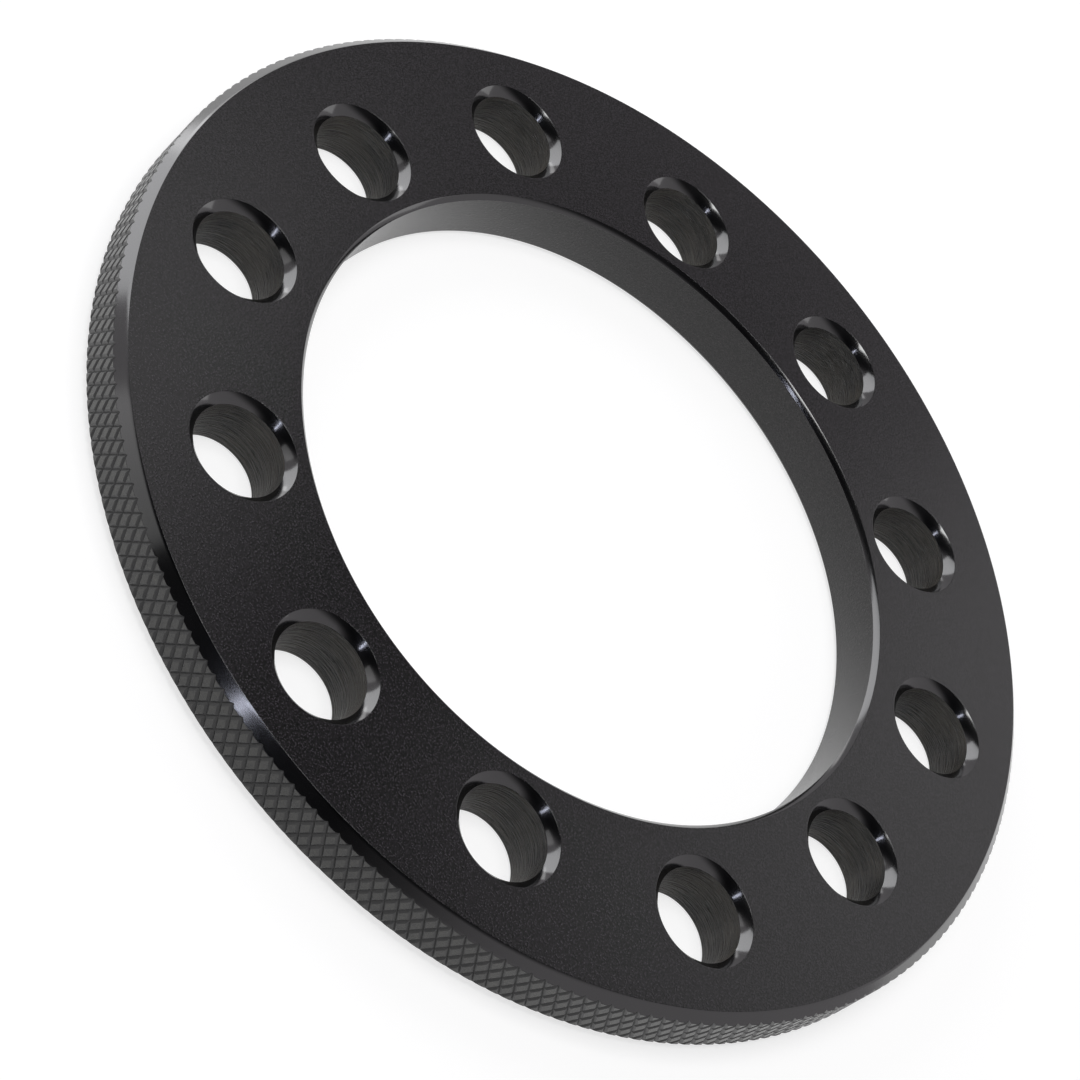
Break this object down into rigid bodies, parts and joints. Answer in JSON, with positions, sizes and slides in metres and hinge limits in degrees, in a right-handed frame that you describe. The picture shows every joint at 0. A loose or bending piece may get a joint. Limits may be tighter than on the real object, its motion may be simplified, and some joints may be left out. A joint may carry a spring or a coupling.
{
  "type": "wheel spacer",
  "caption": "Flat aluminium ring that sets a wheel outwards from its hub, with a plain bore, stud holes on two bolt circles and a knurled rim.",
  "frame": {"origin": "centre of the bore at the back face, which the ring rests on", "axes": "+Z along the ring's axis, out of the chamfered front face; +X through the centre of one hole of the smaller bolt circle"},
  "size_m": [0.1746, 0.1746, 0.0111],
  "materials": {
    "black_anodised_aluminium": "satin black anodised, machined"
  },
  "bodies": {
    "root": {"spacer_ring": "black_anodised_aluminium"}
  },
  "joints": []
}
